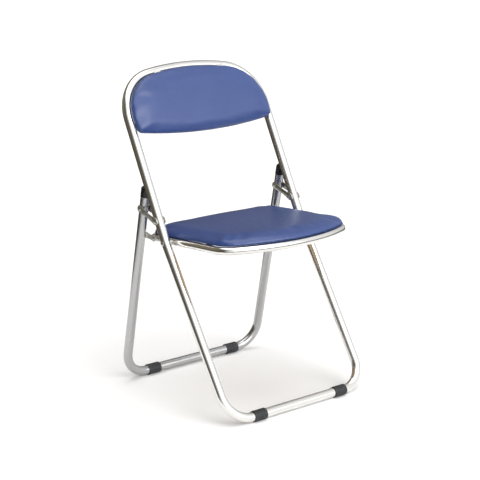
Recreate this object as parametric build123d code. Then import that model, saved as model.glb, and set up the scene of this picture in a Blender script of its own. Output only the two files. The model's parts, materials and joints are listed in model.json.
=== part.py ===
"""Folding chair of bent chromed tube with a padded seat and a padded backrest.

Millimetres, +Z up, -Y towards the sitter's knees, +Y towards the sitter's back.
The origin is on the floor, under the middle of the chair.

The front frame is one loop: it stands on the front floor bar, leans back through
the seat pivot and ends in the top bow. The rear legs are a second loop that leans
forward and ends in two black caps behind the front uprights. The seat hangs on
the front frame at the seat pivot and carries the rear legs at the rear pivot. A
pair of link plates on each side ties the rear legs to the front frame.
"""
from build123d import *
from math import atan, atan2, cos, hypot, radians, sin, sqrt
import os

# Tubes
TUBE_R = 11.1
TUBE_WALL = 1.2
RAIL_R = 9.55
RAIL_WALL = 1.0
TUBE_X = 207.0

# Floor bars and foot sleeves
SLEEVE_R = 13.3
SLEEVE_LENGTH = 36.0
SLEEVE_X = 124.0
SLEEVE_SLIT_DEG = 24.0
GROOVE = 1.6
BAR_Z = SLEEVE_R
FRONT_BAR_Y = -214.5
REAR_BAR_Y = 202.1
FRONT_CORNER_R = 64.0
REAR_CORNER_R = 62.0
CORNER_TAIL = 12.0

# Front frame above the seat pivot
PIVOT_Y = 22.5
PIVOT_Z = 386.0
BACK_LEAN = atan(0.515)
BEND_R = 130.0
BOW_HEIGHT = 424.0
BOW_CORNER_R = 110.0
BOW_CROWN_R = 700.0

# Rear legs
LEG_LEAN = atan(0.2133)
LEG_TOP_Z = 484.0
CAP_R = 11.7
CAP_LENGTH = 26.0
CAP_STEM = 16.0
CAP_GAP = 0.35

# Seat rail, in a plane through the seat pivot that rises towards the knees
SEAT_TILT = atan(0.07)
RAIL_HALF_WIDTH = 180.5
RAIL_FLARE = 0.0206
RAIL_FRONT = 239.7
RAIL_CORNER_R = 46.0
RAIL_CROWN_R = 330.0
RAIL_REAR = 84.0
SIDE_RIVET_FORWARD = 16.0

# Seat pad
SEAT_HALF_WIDTH = 187.0
SEAT_FRONT = 246.5
SEAT_REAR = 98.0
SEAT_CORNER_R = 52.0
SEAT_CROWN_R = 330.0
SEAT_REAR_CORNER_R = 18.0
SEAT_REAR_CROWN_R = 3000.0
SEAT_BOARD_LOW = RAIL_R + 0.15
SEAT_BOARD_THICK = 6.0
SEAT_PAD_LOW = 11.2
SEAT_PAD_HIGH = 31.0
SEAT_PAD_ROUND = 10.0
BOARD_INSET = 9.0

# Backrest pad, measured in the plane of the front frame above the seat pivot
BACK_HALF_WIDTH = 204.0
BACK_TOP = 418.0
BACK_BOTTOM = 250.5
BACK_CORNER_R = 107.0
BACK_CROWN_R = 694.0
BACK_BOTTOM_CROWN_R = 1300.0
BACK_LOW_CORNER_R = 16.0
BACK_BOARD_LOW = TUBE_R + 0.2
BACK_BOARD_THICK = 5.0
BACK_PAD_LOW = 12.2
BACK_PAD_HIGH = 31.0
BACK_PAD_ROUND = 8.0

# Link plates and pivots
LINK_PIVOT_UP = 55.0
LEG_PIVOT_Z = 455.0
REAR_PIVOT_BACK = 72.7
RIVET_R = 3.0
RUNNING_GAP = 0.06
FIT_GAP = 0.02
HEAD_R = 5.6
HEAD_HIGH = 2.0
LINK_WIDTH = 17.0
LINK_WAIST = 12.0
LINK_THICK = 1.6
LINK_GAP = 0.4
BRACKET_X = 189.0
BRACKET_THICK = 2.0
BRACKET_WIDTH = 15.0
BUSH_R = 6.5
PLUG_HEAD = 2.4
CLIP_HIGH = 2.4
CLIP_LENGTH = 12.0
CLIP_WIDTH = 10.0

# Screws
SCREW_R = 2.0
SCREW_HEAD_R = 4.2
SCREW_HEAD_HIGH = 2.2
TAB_THICK = 2.0
TAB_WIDTH = 18.0
TAB_REACH = 19.0
TAB_SCREW_IN = 21.0
TAB_GAP = 0.1

FRONT_LEAN = atan2(PIVOT_Y - FRONT_BAR_Y, PIVOT_Z - BAR_Z)
FRONT_LEG = hypot(PIVOT_Y - FRONT_BAR_Y, PIVOT_Z - BAR_Z)
LEG_LENGTH = (LEG_TOP_Z - BAR_Z) / cos(LEG_LEAN)
LEG_PIVOT_UP = (LEG_PIVOT_Z - BAR_Z) / cos(LEG_LEAN)
LINK_OUTER_X = TUBE_X + TUBE_R + LINK_GAP
LINK_INNER_X = TUBE_X - TUBE_R - LINK_GAP - LINK_THICK

# Planes: x across the chair, y along the tube, z out of the loop
ACROSS = (1, 0, 0)
pivot = Vector(0, PIVOT_Y, PIVOT_Z)
back_plane = Plane(pivot, x_dir=ACROSS, z_dir=(0, -cos(BACK_LEAN), sin(BACK_LEAN)))
front_plane = Plane(pivot, x_dir=ACROSS, z_dir=(0, -cos(FRONT_LEAN), sin(FRONT_LEAN)))
leg_plane = Plane((0, REAR_BAR_Y, BAR_Z), x_dir=ACROSS, z_dir=(0, -cos(LEG_LEAN), -sin(LEG_LEAN)))
seat_plane = Plane(pivot, x_dir=(-1, 0, 0), z_dir=(0, sin(SEAT_TILT), cos(SEAT_TILT)))

link_pivot = back_plane.from_local_coords(Vector(0, LINK_PIVOT_UP, 0))
leg_pivot = leg_plane.from_local_coords(Vector(0, LEG_PIVOT_UP, 0))
rear_pivot = seat_plane.from_local_coords(Vector(0, -REAR_PIVOT_BACK, 0))


def arch_points(half_width, flare, corner_r, crown_r, top):
    """Tangent points of a crowned arch: side, middle of the corner, end of the crown.

    The sides are x = half_width + flare * y, and the crown's highest point is (0, top).
    """
    slant = sqrt(1 + flare ** 2)
    crown_y = top - crown_r
    inset = half_width - corner_r * slant
    half_b = inset * flare - crown_y
    rest = inset ** 2 + crown_y ** 2 - (crown_r - corner_r) ** 2
    centre_y = (-half_b + sqrt(half_b ** 2 - slant ** 2 * rest)) / slant ** 2
    centre_x = inset + flare * centre_y
    low = -atan(flare)
    high = atan2(centre_y - crown_y, centre_x)

    def on_corner(angle):
        return Vector(centre_x + corner_r * cos(angle), centre_y + corner_r * sin(angle))

    return on_corner(low), on_corner((low + high) / 2), on_corner(high)


def mirrored(point):
    """The same point on the other side of the chair."""
    return Vector(-point.X, point.Y, point.Z)


def arch_edges(half_width, flare, corner_r, crown_r, top):
    """The three arcs of a crowned arch, from the right side round to the left."""
    side, corner, crown = arch_points(half_width, flare, corner_r, crown_r, top)
    return [
        ThreePointArc(side, corner, crown),
        ThreePointArc(crown, (0, top), mirrored(crown)),
        ThreePointArc(mirrored(crown), mirrored(corner), mirrored(side)),
    ]


def tube_along(path, radius, wall):
    """A round tube with its middle line on the path."""
    end = Plane(path @ 0, z_dir=path % 0)
    outside = sweep(end * Circle(radius), path=path)
    inside = sweep(end * Circle(radius - wall), path=path)
    return outside - inside


def in_plane(plane, *edges):
    """One wire from edges that are drawn in the plane's own x and y."""
    return plane * Wire(list(edges))


def rod(x_from, x_to, centre, radius):
    """A round bar across the chair."""
    start = Plane((x_from, centre.Y, centre.Z), x_dir=(0, 1, 0), z_dir=ACROSS)
    return extrude(start * Circle(radius), x_to - x_from)


def dome_points(x_face, outward):
    """Profile of a domed head on the plane x = x_face: rim, shoulder and top, as (x, radius)."""
    ball_r = (HEAD_R ** 2 + HEAD_HIGH ** 2) / (2 * HEAD_HIGH)
    half_r = HEAD_R / 2
    shoulder = HEAD_HIGH - ball_r + sqrt(ball_r ** 2 - half_r ** 2)
    return [(x_face, HEAD_R), (x_face + outward * shoulder, half_r), (x_face + outward * HEAD_HIGH, 0)]


def rivet(inner, outer, centre, shank_r=RIVET_R):
    """A rivet across the chair with a domed head on each end of its shank."""
    inside = dome_points(inner, -1)
    outside = dome_points(outer, 1)
    edges = [
        ThreePointArc(inside[2], inside[1], inside[0]),
        Polyline(inside[0], (inner, shank_r), (outer, shank_r), outside[0]),
        ThreePointArc(outside[0], outside[1], outside[2]),
        Line(outside[2], inside[2]),
    ]
    return Pos(0, centre.Y, centre.Z) * revolve(make_face(edges), Axis.X)


def headed_stub(inner, outer, centre, shank_r, head_outside):
    """One headed end of a rivet, with a short plain stub."""
    head = dome_points(outer if head_outside else inner, 1 if head_outside else -1)
    plain = inner if head_outside else outer
    edges = [
        ThreePointArc(head[2], head[1], head[0]),
        Polyline(head[0], (head[0][0], shank_r), (plain, shank_r), (plain, 0), head[2]),
    ]
    return Pos(0, centre.Y, centre.Z) * revolve(make_face(edges), Axis.X)


def u_bar(plane, corner_r, bar_y):
    """A floor bar with its two bends and a short straight tail on each."""
    tail = bar_y + corner_r + CORNER_TAIL
    path = FilletPolyline((-TUBE_X, tail), (-TUBE_X, bar_y), (TUBE_X, bar_y), (TUBE_X, tail), radius=corner_r)
    return tube_along(plane * Wire(path.edges()), TUBE_R, TUBE_WALL)


def upright():
    """Front upright: lower leg, slight bend at the seat pivot, and the back post."""
    bow_side, _, _ = arch_points(TUBE_X, 0, BOW_CORNER_R, BOW_CROWN_R, BOW_HEIGHT)
    foot_end = -FRONT_LEG + FRONT_CORNER_R + CORNER_TAIL
    low = front_plane.from_local_coords(Vector(TUBE_X, foot_end, 0))
    middle = Vector(TUBE_X, PIVOT_Y, PIVOT_Z)
    high = back_plane.from_local_coords(Vector(TUBE_X, bow_side.Y, 0))
    path = FilletPolyline(low, middle, high, radius=BEND_R)
    body = tube_along(Wire(path.edges()), TUBE_R, TUBE_WALL)
    for centre in (pivot, link_pivot):
        body -= rod(TUBE_X - 20, TUBE_X + 20, centre, RIVET_R + FIT_GAP)
    return body


def top_bow():
    """The crowned top of the front frame."""
    edges = arch_edges(TUBE_X, 0, BOW_CORNER_R, BOW_CROWN_R, BOW_HEIGHT)
    return tube_along(in_plane(back_plane, *edges), TUBE_R, TUBE_WALL)


def solid_path(path, radius):
    """The outer shape of a tube, for cutting whatever is fitted to it."""
    return sweep(Plane(path @ 0, z_dir=path % 0) * Circle(radius), path=path)


def post_solid():
    """Outer shape of a front upright near the pivots."""
    low = front_plane.from_local_coords(Vector(TUBE_X, -FRONT_LEG / 2, 0))
    middle = Vector(TUBE_X, PIVOT_Y, PIVOT_Z)
    high = back_plane.from_local_coords(Vector(TUBE_X, BOW_HEIGHT / 2, 0))
    path = FilletPolyline(low, middle, high, radius=BEND_R)
    return solid_path(Wire(path.edges()), TUBE_R)


def leg_line(low_y):
    """Middle line of a rear leg from a place on it up to its open end."""
    low = leg_plane.from_local_coords(Vector(TUBE_X, low_y, 0))
    high = leg_plane.from_local_coords(Vector(TUBE_X, LEG_LENGTH, 0))
    return Wire([Line(low, high)])


def rear_leg():
    """Straight rear leg from the floor bar's tail to the open end under the cap."""
    return tube_along(leg_line(REAR_CORNER_R + CORNER_TAIL), TUBE_R, TUBE_WALL)


def frame_solids():
    """Outer shapes of the front frame's tubes round the backrest."""
    bow = in_plane(back_plane, *arch_edges(TUBE_X, 0, BOW_CORNER_R, BOW_CROWN_R, BOW_HEIGHT))
    solids = [solid_path(bow, TUBE_R)]
    for x in (-TUBE_X, TUBE_X):
        line = in_plane(back_plane, Line((x, BOW_HEIGHT / 4), (x, BOW_HEIGHT * 0.8)))
        solids.append(solid_path(line, TUBE_R))
    return solids


def rail_solids():
    """Outer shapes of the seat rail's tubes."""
    solids = [solid_path(in_plane(seat_plane, *rail_edges()), RAIL_R)]
    solids += [solid_path(in_plane(seat_plane, rail_line(side)), RAIL_R) for side in (-1, 1)]
    return solids


def leg_cap():
    """Black cap on the rear leg's end, hollowed to rest against the front upright."""
    end = leg_plane.from_local_coords(Vector(TUBE_X, LEG_LENGTH, 0))
    place = Plane(end, z_dir=leg_plane.y_dir)
    body = Pos(0, 0, CAP_LENGTH / 2) * Cylinder(CAP_R, CAP_LENGTH)
    body = fillet(body.edges().group_by(Axis.Z)[-1], CAP_R * 0.6)
    body += Pos(0, 0, -CAP_STEM / 2) * Cylinder(TUBE_R - TUBE_WALL, CAP_STEM)
    post = back_plane * Pos(TUBE_X, 0, 0) * Rot(90, 0, 0)
    return place * body - post * Cylinder(TUBE_R + CAP_GAP, 2 * BOW_HEIGHT)


def foot_sleeve(bar_y, slit_dir):
    """Split rubber sleeve round a floor bar, with shallow grooves and its slit up the frame."""
    centre = Vector(SLEEVE_X, bar_y, BAR_Z)
    low = SLEEVE_X - SLEEVE_LENGTH / 2
    high = SLEEVE_X + SLEEVE_LENGTH / 2
    body = rod(low, high, centre, SLEEVE_R)
    body = chamfer(body.edges().filter_by(GeomType.CIRCLE), 1.0)
    for step in (-1, 0, 1):
        middle = SLEEVE_X + step * SLEEVE_LENGTH / 4
        groove = rod(middle - GROOVE / 2, middle + GROOVE / 2, centre, SLEEVE_R + 1)
        body -= groove - rod(middle - GROOVE, middle + GROOVE, centre, SLEEVE_R - GROOVE / 2)
    body -= rod(low - 1, high + 1, centre, TUBE_R + FIT_GAP)
    slit_width = 2 * SLEEVE_R * sin(radians(SLEEVE_SLIT_DEG / 2))
    slit = Plane(centre, x_dir=ACROSS, z_dir=slit_dir) * Pos(0, 0, SLEEVE_R)
    return body - slit * Box(SLEEVE_LENGTH + 2, slit_width, 2 * SLEEVE_R - 4)


def rail_edges():
    """Middle line of the seat rail's curved front, in the seat plane."""
    return arch_edges(RAIL_HALF_WIDTH, RAIL_FLARE, RAIL_CORNER_R, RAIL_CROWN_R, RAIL_FRONT)


def rail_x(forward):
    """Half width of the rail's middle line at a distance in front of the seat pivot."""
    return RAIL_HALF_WIDTH + RAIL_FLARE * forward


def rail_line(side):
    """Middle line of one side of the rail, from its rear end to the front bend."""
    bend, _, _ = arch_points(RAIL_HALF_WIDTH, RAIL_FLARE, RAIL_CORNER_R, RAIL_CROWN_R, RAIL_FRONT)
    return Line((side * rail_x(-RAIL_REAR), -RAIL_REAR), (side * bend.X, bend.Y))


def pan_screw(plane, place, head_z, tip_z):
    """A pan-head screw along the plane's z, its head under head_z and its tip at tip_z."""
    x, y = place
    length = tip_z - head_z
    shank = Pos(x, y, head_z + length / 2) * Cylinder(SCREW_R, length)
    head = Pos(x, y, head_z - SCREW_HEAD_HIGH / 2) * Cylinder(SCREW_HEAD_R, SCREW_HEAD_HIGH)
    head = fillet(head.edges().group_by(Axis.Z)[0], 1.2)
    return plane * (shank + head)


def screw_holes(places, low, high):
    """Holes for screws at places in a plan, between two heights."""
    middle = (low + high) / 2
    return [Pos(x, y, middle) * Cylinder(SCREW_R + FIT_GAP, high - low) for x, y in places]


def cut_all(body, tools):
    """The body with each tool taken away."""
    for tool in tools:
        body -= tool
    return body


def rail_front():
    """The curved front of the seat rail."""
    return tube_along(in_plane(seat_plane, *rail_edges()), RAIL_R, RAIL_WALL)


def rail_side():
    """One side of the seat rail, from the front bend back past the rear pivot."""
    body = tube_along(in_plane(seat_plane, rail_line(-1)), RAIL_R, RAIL_WALL)
    for centre in (pivot, rear_pivot):
        body -= rod(0, TUBE_X, centre, RIVET_R + RUNNING_GAP)
    return body


def rail_plug():
    """Black plug in the open rear end of the seat rail."""
    line = in_plane(seat_plane, rail_line(-1))
    place = Plane(line @ 0, z_dir=line % 0)
    head = Pos(0, 0, -PLUG_HEAD / 2) * Cylinder(RAIL_R - 0.2, PLUG_HEAD)
    head = fillet(head.edges().group_by(Axis.Z)[0], PLUG_HEAD / 2)
    return place * (head + Pos(0, 0, 2.5) * Cylinder(RAIL_R - RAIL_WALL - FIT_GAP, 5.0))


def seat_outline(inset):
    """Plan of the seat pad, drawn in the seat plane and set in by a margin."""
    half = SEAT_HALF_WIDTH - inset
    top = SEAT_FRONT - inset
    corner_r = SEAT_CORNER_R - inset
    side, _, _ = arch_points(half, 0, corner_r, SEAT_CROWN_R - inset, top)
    rear_y = -SEAT_REAR + inset
    drop = SEAT_REAR_CROWN_R - sqrt(SEAT_REAR_CROWN_R ** 2 - half ** 2)
    rear_corner = Vector(half, rear_y + drop)
    edges = arch_edges(half, 0, corner_r, SEAT_CROWN_R - inset, top)
    edges.append(Line(mirrored(side), mirrored(rear_corner)))
    edges.append(ThreePointArc(mirrored(rear_corner), (0, rear_y), rear_corner))
    edges.append(Line(rear_corner, side))
    plan = make_face(edges)
    corners = plan.vertices().group_by(Axis.Y)[0]
    return fillet(corners, SEAT_REAR_CORNER_R - inset)


def back_outline(inset):
    """Plan of the backrest pad, drawn in the back plane and set in by a margin."""
    half = BACK_HALF_WIDTH - inset
    top = BACK_TOP - inset
    corner_r = BACK_CORNER_R - inset
    side, _, _ = arch_points(half, 0, corner_r, BACK_CROWN_R - inset, top)
    low_y = BACK_BOTTOM + inset
    rise = BACK_BOTTOM_CROWN_R - sqrt(BACK_BOTTOM_CROWN_R ** 2 - half ** 2)
    low_corner = Vector(half, low_y + rise)
    edges = arch_edges(half, 0, corner_r, BACK_CROWN_R - inset, top)
    edges.append(Line(mirrored(side), mirrored(low_corner)))
    edges.append(ThreePointArc(mirrored(low_corner), (0, low_y), low_corner))
    edges.append(Line(low_corner, side))
    plan = make_face(edges)
    corners = plan.vertices().group_by(Axis.Y)[0]
    return fillet(corners, BACK_LOW_CORNER_R - inset)


def slab(outline, low, high):
    """A plate with the given plan between two heights."""
    return Pos(0, 0, low) * extrude(outline, high - low)


def cushion(plan, low, high, rounding, board):
    """A padded cushion: rounded at the top and hollowed below for its board."""
    body = slab(plan, low, high)
    body = fillet(body.edges().group_by(Axis.Z)[-1], rounding)
    return body - board


def back_tab_places():
    """Backrest tabs: place of the screw, and the turn that points from it to the tube."""
    side_y = BACK_BOTTOM + 32
    screw_x = TUBE_X - TAB_SCREW_IN
    bow_x = 95
    bow_y = BOW_HEIGHT - BOW_CROWN_R + sqrt(BOW_CROWN_R ** 2 - bow_x ** 2) - TAB_SCREW_IN
    return [(screw_x, side_y, 0), (-screw_x, side_y, 180), (bow_x, bow_y, 90), (-bow_x, bow_y, 90)]


def seat_tab_places():
    """Seat tabs: two on each side of the rail and two at the front."""
    places = []
    for forward in (-45, 130):
        screw_x = rail_x(forward) - TAB_SCREW_IN
        places += [(screw_x, forward, 0), (-screw_x, forward, 180)]
    front_x = 80
    front_y = RAIL_FRONT - RAIL_CROWN_R + sqrt(RAIL_CROWN_R ** 2 - front_x ** 2) - TAB_SCREW_IN
    return places + [(front_x, front_y, 90), (-front_x, front_y, 90)]


def tabs(plane, places, high, tubes):
    """Flat tabs welded to the tubes under a board, each with the hole for one screw."""
    length = TAB_REACH + TAB_WIDTH / 2
    pieces = []
    for x, y, turn in places:
        plate = Pos((length - TAB_WIDTH) / 2, 0, -TAB_THICK / 2) * Box(length, TAB_WIDTH, TAB_THICK)
        plate = fillet(plate.edges().filter_by(Axis.Z).group_by(Axis.X)[0], TAB_WIDTH / 2 - 0.5)
        plate -= Cylinder(SCREW_R + FIT_GAP, 4 * TAB_THICK)
        place = plane * Pos(x, y, high)
        plate = cut_all(place * Rot(0, 0, turn) * plate, tubes)
        screw = plane.from_local_coords(Vector(x, y, high))
        pieces.append(plate.solids().sort_by_distance(screw)[0])
    return Compound(pieces)


def plate_between(x_low, thick, start, end, width, waist):
    """A flat plate across x with round ends at two points and a narrower middle."""
    along = (end - start).normalized()
    length = (end - start).length
    plane = Plane((x_low, start.Y, start.Z), x_dir=along, z_dir=ACROSS)
    half = width / 2
    narrow = waist / 2
    upper = [(0, half), (length / 2, narrow), (length, half)]
    lower = [(length, -half), (length / 2, -narrow), (0, -half)]
    edges = [
        ThreePointArc(upper[0], upper[1], upper[2]),
        ThreePointArc(upper[2], (length + half, 0), lower[0]),
        ThreePointArc(lower[0], lower[1], lower[2]),
        ThreePointArc(lower[2], (-half, 0), upper[0]),
    ]
    return extrude(plane * make_face(edges), thick)


def link_plate(x_low):
    """One of the two plates of a link, bored for its two rivets."""
    plate = plate_between(x_low, LINK_THICK, link_pivot, leg_pivot, LINK_WIDTH, LINK_WAIST)
    for centre in (link_pivot, leg_pivot):
        plate -= rod(x_low - 1, x_low + LINK_THICK + 1, centre, RIVET_R + RUNNING_GAP)
    return plate


def seat_rivet(post):
    """Seat pivot rivet: through the front upright, the bush and the seat rail."""
    inner = RAIL_HALF_WIDTH - RAIL_R - 0.3
    body = rivet(inner, TUBE_X + TUBE_R, pivot)
    collar = rod(TUBE_X + TUBE_R - 3, TUBE_X + TUBE_R, pivot, HEAD_R) - post
    return body + collar


def pivot_bush(post):
    """Spacer bush between the seat rail and the front upright."""
    ring = rod(RAIL_HALF_WIDTH + RAIL_R + 0.2, TUBE_X - TUBE_R + 3, pivot, BUSH_R)
    return ring - rod(0, TUBE_X, pivot, RIVET_R + FIT_GAP) - post


def link_rear_rivet():
    """The two headed ends of the rivet at the rear leg, one in each link plate."""
    stub_r = RIVET_R + RUNNING_GAP
    outer_x = LINK_OUTER_X + LINK_THICK
    inner_x = LINK_INNER_X + LINK_THICK
    outside = headed_stub(LINK_OUTER_X, outer_x, leg_pivot, stub_r, True)
    return Compound([outside, headed_stub(LINK_INNER_X, inner_x, leg_pivot, stub_r, False)])


def leg_bracket():
    """Flat bracket on the rear leg that reaches forward to the rear pivot."""
    weld = leg_plane.from_local_coords(Vector(0, (rear_pivot.Z + 3 - BAR_Z) / cos(LEG_LEAN), 0))
    plate = plate_between(BRACKET_X, BRACKET_THICK, rear_pivot, weld, BRACKET_WIDTH, BRACKET_WIDTH - 3)
    pad = rod(BRACKET_X + BRACKET_THICK / 2, TUBE_X - TUBE_R + 3, weld, BRACKET_WIDTH / 2 - 1)
    body = plate + pad - solid_path(leg_line(LEG_LENGTH / 2), TUBE_R)
    return body - rod(0, TUBE_X, rear_pivot, RIVET_R + FIT_GAP)


def side_rivet():
    """Small clip plate with a rivet head on the rail's outer side, in front of the seat pivot."""
    line = in_plane(seat_plane, rail_line(-1))
    outer = rail_x(SIDE_RIVET_FORWARD) + RAIL_R
    clip = Pos(0.6 - outer, SIDE_RIVET_FORWARD, 0) * Box(CLIP_HIGH, CLIP_LENGTH, CLIP_WIDTH)
    head = Pos(-outer - 1.2, SIDE_RIVET_FORWARD, 0) * Rot(0, 90, 0) * Cylinder(3.2, 2.4)
    return seat_plane * (clip + head) - solid_path(line, RAIL_R)


def shared_parts():
    """The pieces on the chair's middle plane, and the groups of like fasteners."""
    seat_board = slab(seat_outline(BOARD_INSET), SEAT_BOARD_LOW, SEAT_BOARD_LOW + SEAT_BOARD_THICK)
    back_board = slab(back_outline(BOARD_INSET), BACK_BOARD_LOW, BACK_BOARD_LOW + BACK_BOARD_THICK)
    seat_pad = cushion(seat_outline(0), SEAT_PAD_LOW, SEAT_PAD_HIGH, SEAT_PAD_ROUND, seat_board)
    back_pad = cushion(back_outline(0), BACK_PAD_LOW, BACK_PAD_HIGH, BACK_PAD_ROUND, back_board)
    parts = {
        "front_foot_bar": u_bar(front_plane, FRONT_CORNER_R, -FRONT_LEG),
        "top_bow": top_bow(),
        "rear_foot_bar": u_bar(leg_plane, REAR_CORNER_R, 0),
        "seat_rail_front": rail_front(),
        "seat_cushion": seat_plane * seat_pad,
        "backrest_cushion": back_plane * back_pad,
    }
    boards = (
        ("seat", seat_plane, seat_board, seat_tab_places(), SEAT_BOARD_LOW, SEAT_BOARD_THICK, rail_solids()),
        ("backrest", back_plane, back_board, back_tab_places(), BACK_BOARD_LOW, BACK_BOARD_THICK, frame_solids()),
    )
    for name, plane, board, places, low, thick, tubes in boards:
        screws = [place[:2] for place in places]
        high = low - TAB_GAP
        tip = low + thick - 1
        holes = screw_holes(screws, low - 1, tip)
        parts[name + "_board"] = plane * cut_all(board, holes)
        parts[name + "_tabs"] = tabs(plane, places, high, tubes)
        parts[name + "_screws"] = Compound([pan_screw(plane, place, high - TAB_THICK, tip) for place in screws])
    return parts


def left_parts():
    """The pieces on the sitter's left, at +X; the right side is their mirror image."""
    post = post_solid()
    return {
        "front_upright": upright(),
        "rear_leg": rear_leg(),
        "rear_leg_cap": leg_cap(),
        "seat_rail": rail_side(),
        "seat_rail_plug": rail_plug(),
        "seat_side_rivet": side_rivet(),
        "seat_pivot_rivet": seat_rivet(post),
        "seat_pivot_bush": pivot_bush(post),
        "link_front_rivet": rivet(LINK_INNER_X - 0.1, LINK_OUTER_X + LINK_THICK + 0.1, link_pivot),
        "link_rear_rivet": link_rear_rivet(),
        "link_outer_plate": link_plate(LINK_OUTER_X),
        "link_inner_plate": link_plate(LINK_INNER_X),
        "rear_leg_bracket": leg_bracket(),
        "rear_pivot_rivet": rivet(rail_x(-REAR_PIVOT_BACK) - RAIL_R - 0.5, BRACKET_X + BRACKET_THICK, rear_pivot),
        "front_foot_sleeve": foot_sleeve(FRONT_BAR_Y, front_plane.y_dir),
        "rear_foot_sleeve": foot_sleeve(REAR_BAR_Y, leg_plane.y_dir),
    }


def main():
    """Write one STEP file for each piece."""
    os.makedirs("parts", exist_ok=True)
    parts = shared_parts()
    for name, shape in left_parts().items():
        parts[name + "_left"] = shape
        parts[name + "_right"] = mirror(shape, about=Plane.YZ)
    for name, shape in parts.items():
        export_step(shape, "parts/" + name + ".step")


main()
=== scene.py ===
import json
import math

import bmesh
import bpy
import numpy as np
from bpy.props import FloatProperty, FloatVectorProperty, IntProperty, PointerProperty
from bpy.types import Operator, Panel, PropertyGroup
from mathutils import Matrix, Vector


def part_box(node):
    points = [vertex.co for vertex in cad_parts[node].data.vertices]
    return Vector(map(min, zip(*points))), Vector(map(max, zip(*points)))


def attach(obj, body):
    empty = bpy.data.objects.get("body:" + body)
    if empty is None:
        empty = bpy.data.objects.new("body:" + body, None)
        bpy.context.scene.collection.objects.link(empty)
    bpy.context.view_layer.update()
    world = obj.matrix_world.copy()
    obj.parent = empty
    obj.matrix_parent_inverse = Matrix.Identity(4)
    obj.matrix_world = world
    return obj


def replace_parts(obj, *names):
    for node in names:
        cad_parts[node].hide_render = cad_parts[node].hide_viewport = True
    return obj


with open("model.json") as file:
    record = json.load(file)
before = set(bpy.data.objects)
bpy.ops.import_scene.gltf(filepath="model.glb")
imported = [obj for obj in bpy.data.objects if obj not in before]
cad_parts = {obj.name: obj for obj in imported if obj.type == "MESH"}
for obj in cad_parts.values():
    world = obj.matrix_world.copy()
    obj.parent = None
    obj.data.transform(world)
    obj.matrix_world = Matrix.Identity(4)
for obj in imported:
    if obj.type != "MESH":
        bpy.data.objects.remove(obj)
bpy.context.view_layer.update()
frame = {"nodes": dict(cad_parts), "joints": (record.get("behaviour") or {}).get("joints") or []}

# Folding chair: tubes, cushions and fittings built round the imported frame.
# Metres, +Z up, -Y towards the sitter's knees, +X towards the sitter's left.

bl_info = {
    "name": "Folding Chair",
    "version": (1, 0, 0),
    "blender": (4, 5, 0),
    "location": "View3D > Sidebar > Folding Chair",
    "description": "Builds the looks of a tubular folding chair round its packed frame",
    "category": "Object",
}

MM = 0.001
SIDES = {"left": 1, "right": -1}


# ---------------------------------------------------------------- places from the frame

def node_box(node):
    """Lowest corner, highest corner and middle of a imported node."""
    low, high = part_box(node)
    return low, high, (low + high) / 2


def joint_place(name):
    """Where a joint of the frame turns, on the chair's middle plane."""
    place = next(joint["pos_m"] for joint in frame["joints"] if joint["name"] == name)
    return Vector((0, place[1], place[2]))


def plane_at(origin, up, across=1):
    """Frame of a bent loop: x across the chair, y along the tubes, z out of the loop."""
    x = Vector((across, 0, 0))
    y = up.normalized()
    z = x.cross(y)
    return Matrix.Translation(origin) @ Matrix((x, y, z)).transposed().to_4x4()


leg_low, leg_high, leg_middle = node_box("rear_leg_left")
TUBE_R = (leg_high.x - leg_low.x) / 2
TUBE_X = leg_middle.x
bar_low, bar_high, _ = node_box("front_foot_bar")
FRONT_BAR = Vector((0, bar_low.y + TUBE_R, bar_low.z + TUBE_R))
bar_low, bar_high, _ = node_box("rear_foot_bar")
REAR_BAR = Vector((0, bar_high.y - TUBE_R, bar_low.z + TUBE_R))
SEAT_PIVOT = joint_place("seat_fold")
REAR_PIVOT = joint_place("rear_leg_fold")
LINK_PIVOT = joint_place("link_left_fold")
LEG_PIVOT = node_box("link_rear_rivet_left")[2]
LEG_PIVOT.x = 0

front_plane = plane_at(SEAT_PIVOT, SEAT_PIVOT - FRONT_BAR)
back_plane = plane_at(SEAT_PIVOT, LINK_PIVOT - SEAT_PIVOT)
leg_plane = plane_at(REAR_BAR, LEG_PIVOT - REAR_BAR)
seat_plane = plane_at(SEAT_PIVOT, SEAT_PIVOT - REAR_PIVOT, across=-1)


# ---------------------------------------------------------------- sizes and colours

def length(name, description, default, low=0.0, high=2.0):
    """A length property in metres."""
    return FloatProperty(
        name=name, description=description, default=default, min=low, max=high,
        precision=4, unit="LENGTH", subtype="DISTANCE",
    )


def colour(name, description, default):
    """A colour property."""
    return FloatVectorProperty(
        name=name, description=description, default=default, size=3, min=0.0, max=1.0, subtype="COLOR",
    )


def share(name, description, default, low=0.0, high=1.0):
    """A plain factor."""
    return FloatProperty(
        name=name, description=description, default=default, min=low, max=high, subtype="FACTOR",
    )


def strength(name, description, default, high):
    """A plain strength from nothing upwards."""
    return FloatProperty(name=name, description=description, default=default, min=0, max=high)


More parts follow.
